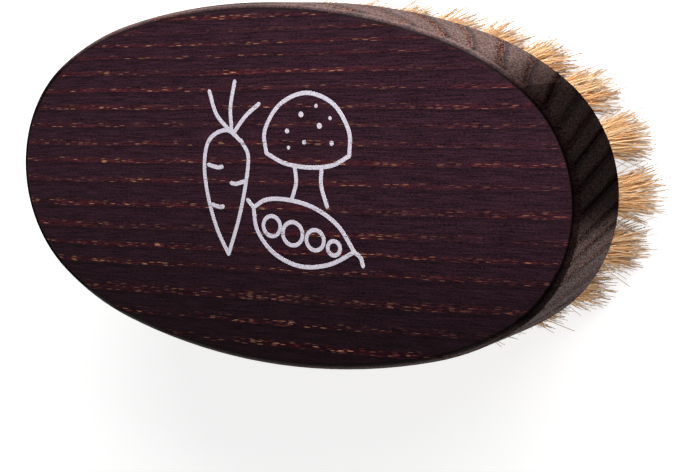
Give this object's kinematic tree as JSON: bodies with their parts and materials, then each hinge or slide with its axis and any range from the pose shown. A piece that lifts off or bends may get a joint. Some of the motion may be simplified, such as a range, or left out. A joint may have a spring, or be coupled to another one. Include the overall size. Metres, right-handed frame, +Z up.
{
  "type": "vegetable brush",
  "caption": "Oval hand brush for scrubbing vegetables: dark wooden block with rounded edges, flat printed back and rings of stiff plant fibre tufts underneath.",
  "frame": {"origin": "on the surface that the bristle tips stand on, under the middle of the block", "axes": "+X along the block, +Y across it, +Z up out of the wooden back"},
  "size_m": [0.134, 0.0749, 0.04],
  "materials": {
    "wood": "satin",
    "fibre": "matte",
    "wire": "satin"
  },
  "bodies": {
    "root": {"block": "wood", "anchors": "wire", "outer_tuft_01": "fibre", "outer_tuft_02": "fibre", "outer_tuft_03": "fibre", "outer_tuft_04": "fibre", "outer_tuft_05": "fibre", "outer_tuft_06": "fibre", "outer_tuft_07": "fibre", "outer_tuft_08": "fibre", "outer_tuft_09": "fibre", "outer_tuft_10": "fibre", "outer_tuft_11": "fibre", "outer_tuft_12": "fibre", "outer_tuft_13": "fibre", "outer_tuft_14": "fibre", "outer_tuft_15": "fibre", "outer_tuft_16": "fibre", "outer_tuft_17": "fibre", "outer_tuft_18": "fibre", "outer_tuft_19": "fibre", "outer_tuft_20": "fibre", "outer_tuft_21": "fibre", "outer_tuft_22": "fibre", "outer_tuft_23": "fibre", "outer_tuft_24": "fibre", "outer_tuft_25": "fibre", "outer_tuft_26": "fibre", "outer_tuft_27": "fibre", "outer_tuft_28": "fibre", "middle_tuft_01": "fibre", "middle_tuft_02": "fibre", "middle_tuft_03": "fibre", "middle_tuft_04": "fibre", "middle_tuft_05": "fibre", "middle_tuft_06": "fibre", "middle_tuft_07": "fibre", "middle_tuft_08": "fibre", "middle_tuft_09": "fibre", "middle_tuft_10": "fibre", "middle_tuft_11": "fibre", "middle_tuft_12": "fibre", "middle_tuft_13": "fibre", "middle_tuft_14": "fibre", "middle_tuft_15": "fibre", "middle_tuft_16": "fibre", "middle_tuft_17": "fibre", "middle_tuft_18": "fibre", "inner_tuft_01": "fibre", "inner_tuft_02": "fibre", "inner_tuft_03": "fibre", "inner_tuft_04": "fibre", "inner_tuft_05": "fibre", "inner_tuft_06": "fibre", "inner_tuft_07": "fibre", "inner_tuft_08": "fibre", "inner_tuft_09": "fibre", "inner_tuft_10": "fibre", "inner_tuft_11": "fibre", "inner_tuft_12": "fibre"}
  },
  "joints": []
}
